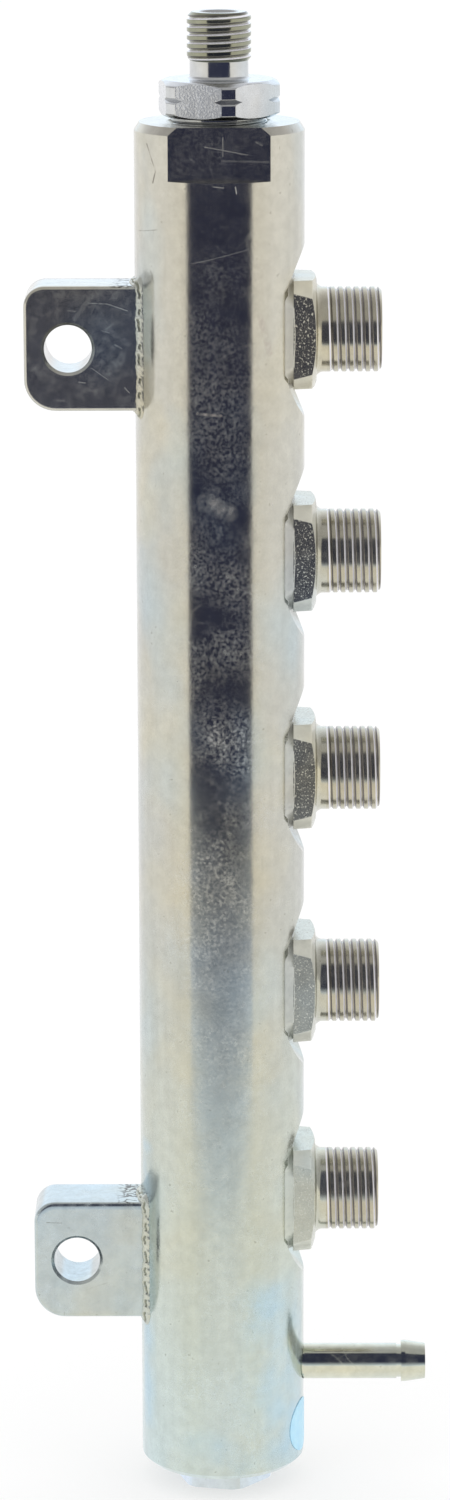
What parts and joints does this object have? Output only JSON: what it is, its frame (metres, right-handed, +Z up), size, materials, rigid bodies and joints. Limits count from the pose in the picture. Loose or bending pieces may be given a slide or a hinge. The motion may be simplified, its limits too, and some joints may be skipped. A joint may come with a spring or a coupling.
{
  "type": "fuel rail",
  "caption": "Diesel common rail: thick tube with threaded outlets on square bases, welded mounting tabs, a hexagon end adaptor, a relief valve and a return hose stub.",
  "frame": {"origin": "centre of the end face of the relief valve's hexagon head, on the rail's axis", "axes": "+Z up along the rail's axis, +X towards the outlets, mounting tabs on -X, front on -Y"},
  "size_m": [0.0768, 0.032, 0.2891],
  "materials": {
    "zinc_plated_tube": "satin bright zinc plate on drawn steel tube, scuffed and blotched",
    "zinc_plated_fitting": "bright zinc plate with a faint straw tint on turned steel",
    "plated_braze": "zinc plate over a smooth braze fillet",
    "zinc_plated_tab": "satin zinc plate on sawn and milled flat bar",
    "plated_weld": "zinc plate over a rippled weld bead",
    "zinc_plated_adaptor": "bright blue-white zinc plate on turned hexagon bar",
    "zinc_plated_barb": "bright zinc plate on drawn tube",
    "hardened_steel": "ground and hardened steel",
    "spring_steel": "oil-tempered spring wire",
    "nitrile_rubber": "smooth black rubber",
    "blue_label": "plain light-blue label film"
  },
  "bodies": {
    "rail": {"rail_body": "zinc_plated_tube", "outlet_fitting_1": "zinc_plated_fitting", "outlet_fitting_2": "zinc_plated_fitting", "outlet_fitting_3": "zinc_plated_fitting", "outlet_fitting_4": "zinc_plated_fitting", "outlet_fitting_5": "zinc_plated_fitting", "braze_ring_1": "plated_braze", "braze_ring_2": "plated_braze", "braze_ring_3": "plated_braze", "braze_ring_4": "plated_braze", "braze_ring_5": "plated_braze", "mounting_tab_upper": "zinc_plated_tab", "mounting_tab_lower": "zinc_plated_tab", "tab_weld_upper": "plated_weld", "tab_weld_lower": "plated_weld", "end_adaptor": "zinc_plated_adaptor", "return_barb": "zinc_plated_barb", "valve_body": "zinc_plated_adaptor", "valve_o_ring": "nitrile_rubber", "valve_seat": "hardened_steel", "spring_shim": "hardened_steel", "valve_spring": "spring_steel", "id_sticker": "blue_label"},
    "plunger": {"valve_poppet": "hardened_steel"}
  },
  "joints": [
    {"name": "relief_lift", "type": "slide", "parent": "rail", "child": "plunger", "axis": [0, 0, -1], "range_m": [0, 0.0008], "stiffness_N_per_m": 20000, "deforming": ["valve_spring"]}
  ]
}
